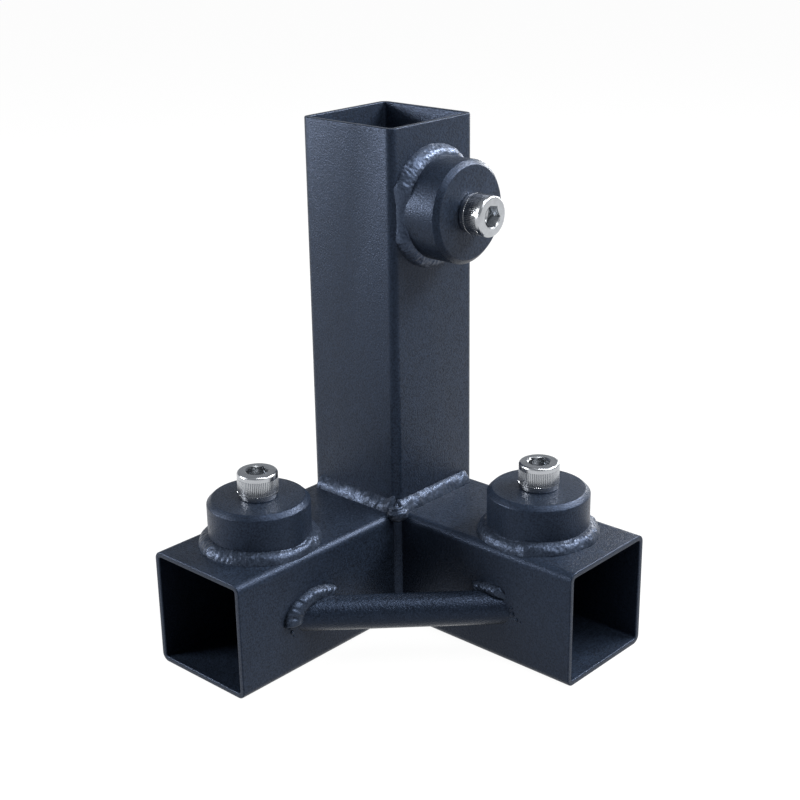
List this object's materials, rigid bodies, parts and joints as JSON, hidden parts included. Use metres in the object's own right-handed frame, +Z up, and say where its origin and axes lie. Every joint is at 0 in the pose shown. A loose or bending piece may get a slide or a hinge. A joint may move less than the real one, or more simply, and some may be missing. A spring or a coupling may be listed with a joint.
{
  "type": "three way corner connector",
  "caption": "Welded steel corner connector: square tube sockets at right angles for posts and rails, a clamp screw in a round boss on each, and a round brace across the inner corner.",
  "frame": {"origin": "on the axis of the upright tube, in the plane that the connector stands on", "axes": "+Z up along the upright tube, +X along the left arm, +Y along the right arm; the upright's clamp screw points to +Y"},
  "size_m": [0.1615, 0.1615, 0.2425],
  "materials": {
    "powder_coated_steel": "black powder coat with a fine sandy texture",
    "stainless_steel": "bright machined stainless steel, knurled round the head"
  },
  "bodies": {
    "weldment": {"upright_tube": "powder_coated_steel", "left_arm_tube": "powder_coated_steel", "right_arm_tube": "powder_coated_steel", "brace_bar": "powder_coated_steel", "left_boss": "powder_coated_steel", "right_boss": "powder_coated_steel", "upright_boss": "powder_coated_steel", "left_boss_weld": "powder_coated_steel", "right_boss_weld": "powder_coated_steel", "upright_boss_weld": "powder_coated_steel", "left_top_weld": "powder_coated_steel", "right_top_weld": "powder_coated_steel", "inner_corner_weld": "powder_coated_steel", "left_brace_weld": "powder_coated_steel", "right_brace_weld": "powder_coated_steel", "left_back_weld": "powder_coated_steel", "right_back_weld": "powder_coated_steel"},
    "left_screw": {"left_clamp_screw": "stainless_steel"},
    "right_screw": {"right_clamp_screw": "stainless_steel"},
    "upright_screw": {"upright_clamp_screw": "stainless_steel"}
  },
  "joints": [
    {"name": "left_screw_travel", "type": "slide", "parent": "weldment", "child": "left_screw", "axis": [0, 0, 1], "range_m": [0, 0.019]},
    {"name": "right_screw_travel", "type": "slide", "parent": "weldment", "child": "right_screw", "axis": [0, 0, 1], "range_m": [0, 0.019]},
    {"name": "upright_screw_travel", "type": "slide", "parent": "weldment", "child": "upright_screw", "axis": [0, 1, 0], "range_m": [0, 0.019]}
  ]
}
